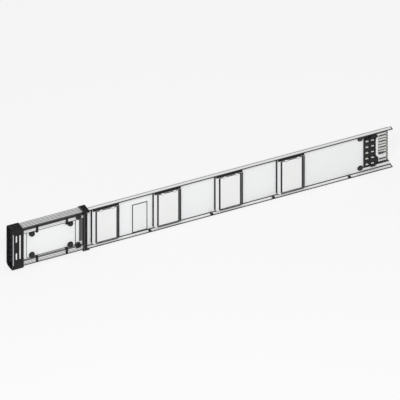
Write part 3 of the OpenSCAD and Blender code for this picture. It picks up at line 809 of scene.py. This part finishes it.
def jaw_surface(x, z, floor, depth, width, thickness):
    """Two bowed leaves that face each other across a height z, from a cell's floor towards the front.

    A leaf's distance from the middle is the throat plus the reach times one less the sine of half a turn over
    its depth, so that it is least half way and flares at the mouth.
    """
    throat, reach = 0.0009, 0.0034
    way = np.linspace(0.0, 1.0, 11)
    away = throat + reach * (1.0 - np.sin(math.pi * way))
    section = np.concatenate([np.stack([away, depth * way], axis=-1),
                              np.stack([away + thickness, depth * way], axis=-1)[::-1]])
    path = np.array([[x - 0.5 * width, floor, z], [x + 0.5 * width, floor, z]])
    leaves = []
    for side in (-1.0, 1.0):
        leaves.append(swept(path, np.tile([0.0, 0.0, side], (2, 1)), section))
    return joined(*leaves)


class TRUNKING_OT_cell_jaws(bpy.types.Operator):
    """Stand a pair of tinned spring leaves in each cell of the contact block"""
    bl_idname = "trunking.cell_jaws"
    bl_label = "Cell jaws"

    def execute(self, context):
        thickness = context.scene.trunking_sizes.jaw_thickness
        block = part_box("contact_block")[0]
        set_back, width = 0.0025, 0.011
        jaws = []
        for bar in BARS:
            low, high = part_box(f"bar_{bar}")
            middle = (low.z + high.z) / 2.0
            floor = low.y - CELL_FLOOR
            depth = floor - block.y - set_back
            for column in CELL_COLUMNS:
                jaws.append(jaw_surface(block.x + column, middle, floor, depth, width, thickness))
        points, faces = joined(*jaws)
        new_piece("cell_jaws", points, faces, "contact", smooth_angle=50.0)
        return {"FINISHED"}


def sleeve_surface(centre, radius, z_low, z_high, sides=20):
    """An upright barrel, closed by a pole at either end.

    Its radius is full at mid height and falls by an eighth with the square of the way to either end.
    """
    height = np.linspace(-1.0, 1.0, 7)
    ring = np.concatenate([[0.0], radius * (1.0 - 0.125 * height ** 2), [0.0]])[:, None]
    z = np.concatenate([[z_low], z_low + (z_high - z_low) * (height + 1.0) / 2.0, [z_high]])[:, None]
    angle = np.linspace(0.0, 2.0 * math.pi, sides, endpoint=False)[None, :]
    x, y = centre
    points = np.stack([x + ring * np.cos(angle), y + ring * np.sin(angle), z + 0.0 * angle], axis=-1)
    return points.reshape(-1, 3), ring_faces(len(ring), sides)


class TRUNKING_OT_tip_sleeves(bpy.types.Operator):
    """Put a dark sleeve on each rounded tip of the forked contacts"""
    bl_idname = "trunking.tip_sleeves"
    bl_label = "Tip sleeves"

    def execute(self, context):
        radius = TIP_RADIUS + context.scene.trunking_sizes.tip_growth
        past_end = 0.0001
        sleeves = []
        for bar in BARS:
            low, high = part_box(f"contact_{bar}")
            prong = (high.z - low.z - FORK_SLOT) / 2.0
            for y in (low.y + TIP_RADIUS, high.y - TIP_RADIUS):
                for z in (low.z, high.z - prong):
                    tip = (high.x - TIP_RADIUS, y)
                    sleeves.append(sleeve_surface(tip, radius, z - past_end, z + prong + past_end))
        points, faces = joined(*sleeves)
        new_piece("tip_sleeves", points, faces, "guard", smooth_angle=40.0)
        return {"FINISHED"}


def shank_surface(centre, radius, back):
    """A plain round bar from a head back to the screw's end."""
    end = centre[1] - back
    return turned_front(centre, [(0.0, end), (radius, end), (radius, 0.0), (0.0, 0.0)], sides=24)


def seat_centre(low, high, head_height):
    """The point on a screw's axis at which its head ends and its shank begins."""
    return (low.x + high.x) / 2.0, low.y + head_height, (low.z + high.z) / 2.0


def bolt_surface(low, high, head_height, washer_growth):
    """A hexagonal head with a chamfered, hollowed front on a washer, over a plain shank.

    The head is turned, and its radius stays within a hexagon whose flats are as far apart as the box is high.
    """
    flats = high.z - low.z
    centre = seat_centre(low, high, head_height)
    corner = flats / math.sqrt(3.0)
    chamfer = 0.12 * head_height
    shoulder = head_height - chamfer
    head = turned_front(centre, [
        (0.0, 0.0), (corner, 0.0), (corner, head_height - 2.2 * chamfer), (corner - chamfer, shoulder),
        (0.47 * flats, head_height - 0.2 * chamfer), (0.42 * flats, head_height),
        (0.30 * flats, head_height), (0.27 * flats, shoulder), (0.0, shoulder)],
        sides=72, outline=hexagon(flats))
    washer = 0.14 * head_height
    rim = corner + washer_growth
    rounding = 0.3 * washer
    disc = turned_front(centre, [
        (0.0, 0.0), (rim - rounding, 0.0), (rim, rounding), (rim, washer - rounding),
        (rim - rounding, washer), (0.0, washer)], sides=48)
    return joined(head, disc, shank_surface(centre, 0.2 * flats, high.y))


class TRUNKING_OT_bolt_heads(bpy.types.Operator):
    """Give the joint bolts and web screws chamfered hexagonal heads on washers"""
    bl_idname = "trunking.bolt_heads"
    bl_label = "Bolt heads"

    def execute(self, context):
        growth = context.scene.trunking_sizes.washer_growth
        seats = {f"joint_bolt_{k}": recess_floor() for k in BOLTS}
        seats.update({"web_screw_top": web_front(), "web_screw_bottom": web_front()})
        for node, seat in seats.items():
            low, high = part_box(node)
            points, faces = bolt_surface(low, high, seat - low.y, growth)
            head = new_piece(node + "_head", points, faces, SLOT_OF[node], smooth_angle=28.0)
            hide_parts(node)
        return {"FINISHED"}


def cross_screw_surface(low, high, head_height):
    """A domed round head with a cross recess, over a plain shank.

    The head's height falls with the square of the radius. The recess is deepest on the axis and ends where
    either arm's width or its length ends, each edge a steep smooth step. The shares are of the head's radius,
    and the last two of its height.
    """
    half_arm, arm_edge, arm_length, arm_end = 0.10, 0.02, 0.48, 0.03
    dome_fall, recess_depth = 0.45, 0.6
    centre = seat_centre(low, high, head_height)
    radius = (high.x - low.x) / 2.0
    rings = np.linspace(0.0, 1.0, 29)[:, None]
    angle = np.linspace(0.0, 2.0 * math.pi, 96, endpoint=False)[None, :]
    x = rings * np.cos(angle)
    z = rings * np.sin(angle)
    arm = np.minimum(np.abs(x), np.abs(z))
    reach = np.maximum(np.abs(x), np.abs(z))
    across_arm = 1.0 + np.exp((arm - half_arm) / arm_edge)
    along_arm = 1.0 + np.exp((reach - arm_length) / arm_end)
    height = head_height * (1.0 - dome_fall * rings ** 2 - recess_depth / across_arm / along_arm)
    top = np.stack([centre[0] + radius * x, centre[1] - height, centre[2] + radius * z], axis=-1)
    rim = top[-1:].copy()
    rim[..., 1] = centre[1]
    heel = rim.copy()
    heel[..., 0] = centre[0]
    heel[..., 2] = centre[2]
    dome = np.concatenate([top, rim, heel]).reshape(-1, 3)
    return joined((dome, ring_faces(len(rings) + 2, angle.size)), shank_surface(centre, 0.2 * radius, high.y))


class TRUNKING_OT_cross_screws(bpy.types.Operator):
    """Give the joint's two screws domed heads with a cross recess"""
    bl_idname = "trunking.cross_screws"
    bl_label = "Cross screws"

    def execute(self, context):
        for node, seated_on in (("joint_screw_top", "joint_rail_top"), ("joint_screw_bottom", "joint_front")):
            low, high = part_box(node)
            points, faces = cross_screw_surface(low, high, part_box(seated_on)[0].y - low.y)
            head = new_piece(node + "_head", points, faces, SLOT_OF[node], smooth_angle=50.0)
            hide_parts(node)
        return {"FINISHED"}


def add_lamp(scene, name, place, size, power):
    """A round lamp that points at the middle of the section."""
    light = bpy.data.lights.new(name, "AREA")
    light.shape = "DISK"
    light.size = size
    light.energy = power
    lamp = bpy.data.objects.new(name, light)
    lamp.location = place
    lamp.rotation_euler = (Vector((0.0, 0.0, 0.08)) - lamp.location).to_track_quat("-Z", "Y").to_euler()
    scene.collection.objects.link(lamp)


def brighten_in_view(material, share, strength):
    """Mixes white light into a material where it is seen, directly, in a reflection or through glass."""
    tree = material.node_tree
    output = next(n for n in tree.nodes if n.bl_idname == "ShaderNodeOutputMaterial")
    white = add_node(tree, "ShaderNodeEmission", Strength=strength)
    rays = add_node(tree, "ShaderNodeLightPath")
    seen = combined(tree, rays.outputs["Is Camera Ray"], rays.outputs["Is Glossy Ray"])
    seen = combined(tree, seen, rays.outputs["Is Transmission Ray"])
    blend = add_node(tree, "ShaderNodeMixShader")
    tree.links.new(times(tree, seen, share), blend.inputs["Fac"])
    tree.links.new(tree.nodes["Principled BSDF"].outputs["BSDF"], blend.inputs[1])
    tree.links.new(white.outputs["Emission"], blend.inputs[2])
    tree.links.new(blend.outputs["Shader"], output.inputs["Surface"])


def lay_floor(scene, reach):
    """A square floor of pale paint that shows nearly white and keeps a part of the section's shadow."""
    mesh = bpy.data.meshes.new("Floor")
    corners = np.array([[-1.0, -1.0, 0.0], [1.0, -1.0, 0.0], [1.0, 1.0, 0.0], [-1.0, 1.0, 0.0]])
    mesh.from_pydata((corners * reach).tolist(), [], [(0, 1, 2, 3)])
    floor = bpy.data.objects.new("Floor", mesh)
    scene.collection.objects.link(floor)
    grey = (0.90, 0.90, 0.90)
    paint = surface("Pale floor", grey, 0.9, cloud_scale=1.5, cloud_depth=0.01, grain_height=0.0)
    brighten_in_view(paint, share=0.82, strength=0.965)
    mesh.materials.append(paint)


def set_camera(scene, width, turn, rise):
    """A camera without perspective, turned towards the joint housing and looking down at the section."""
    lens = bpy.data.cameras.new("Camera")
    lens.type = "ORTHO"
    lens.ortho_scale = width
    lens.clip_end = 50.0
    camera = bpy.data.objects.new("Camera", lens)
    off_middle = Vector((0.0019, 0.002, 0.0125))
    middle = (Vector(CAD_BOX[0]) + Vector(CAD_BOX[1])) / 2.0 - off_middle
    back = Vector((-math.sin(turn) * math.cos(rise), -math.cos(turn) * math.cos(rise), math.sin(rise)))
    distance = 4.0
    camera.location = middle + distance * back
    camera.rotation_euler = (math.pi / 2.0 - rise, 0.0, -turn)
    scene.collection.objects.link(camera)
    scene.camera = camera


class TRUNKING_OT_stage(bpy.types.Operator):
    """Lay the floor and set up the lamps, the world and the camera"""
    bl_idname = "trunking.stage"
    bl_label = "Stage"

    def execute(self, context):
        scene = context.scene
        sizes = scene.trunking_sizes
        lay_floor(scene, sizes.floor_reach)
        scene.world = bpy.data.worlds.new("Studio")
        scene.world.use_nodes = True
        sky = scene.world.node_tree.nodes["Background"]
        sky.inputs["Color"].default_value = (1.0, 1.0, 1.0, 1.0)
        sky.inputs["Strength"].default_value = 0.56
        add_lamp(scene, "Key lamp", place=(-1.5, -2.7, 2.9), size=1.0, power=76.0)
        add_lamp(scene, "Fill lamp", place=(2.4, -2.6, 1.6), size=2.4, power=14.0)
        set_camera(scene, sizes.view_width, sizes.view_turn, sizes.view_rise)
        scene.view_settings.view_transform = "Standard"
        return {"FINISHED"}


class TRUNKING_PT_panel(bpy.types.Panel):
    """Lists the steps that dress the trunking section"""
    bl_idname = "TRUNKING_PT_panel"
    bl_label = "Busbar Trunking"
    bl_space_type = "VIEW_3D"
    bl_region_type = "UI"
    bl_category = "Trunking"

    def draw(self, context):
        for group in (context.scene.trunking_sizes, context.scene.trunking_finishes):
            # The first two properties of every group are Blender's own
            for name in group.bl_rna.properties.keys()[2:]:
                self.layout.prop(group, name)
        for step in STEPS:
            self.layout.operator(step.bl_idname)


STEPS = (TRUNKING_OT_finishes, TRUNKING_OT_rounded_mouldings, TRUNKING_OT_flap_seals,
         TRUNKING_OT_frame_gaskets, TRUNKING_OT_collar_strips, TRUNKING_OT_cover_seal,
         TRUNKING_OT_cell_jaws, TRUNKING_OT_tip_sleeves, TRUNKING_OT_bolt_heads, TRUNKING_OT_cross_screws,
         TRUNKING_OT_stage)
CLASSES = (TrunkingSizes, TrunkingFinishes) + STEPS + (TRUNKING_PT_panel,)


def register():
    for item in CLASSES:
        bpy.utils.register_class(item)
    bpy.types.Scene.trunking_sizes = bpy.props.PointerProperty(type=TrunkingSizes)
    bpy.types.Scene.trunking_finishes = bpy.props.PointerProperty(type=TrunkingFinishes)


def unregister():
    del bpy.types.Scene.trunking_finishes
    del bpy.types.Scene.trunking_sizes
    for item in reversed(CLASSES):
        bpy.utils.unregister_class(item)


def main():
    register()
    bpy.ops.trunking.finishes()
    bpy.ops.trunking.rounded_mouldings()
    bpy.ops.trunking.flap_seals()
    bpy.ops.trunking.frame_gaskets()
    bpy.ops.trunking.collar_strips()
    bpy.ops.trunking.cover_seal()
    bpy.ops.trunking.cell_jaws()
    bpy.ops.trunking.tip_sleeves()
    bpy.ops.trunking.bolt_heads()
    bpy.ops.trunking.cross_screws()
    bpy.ops.trunking.stage()


if __name__ == "__main__":
    main()
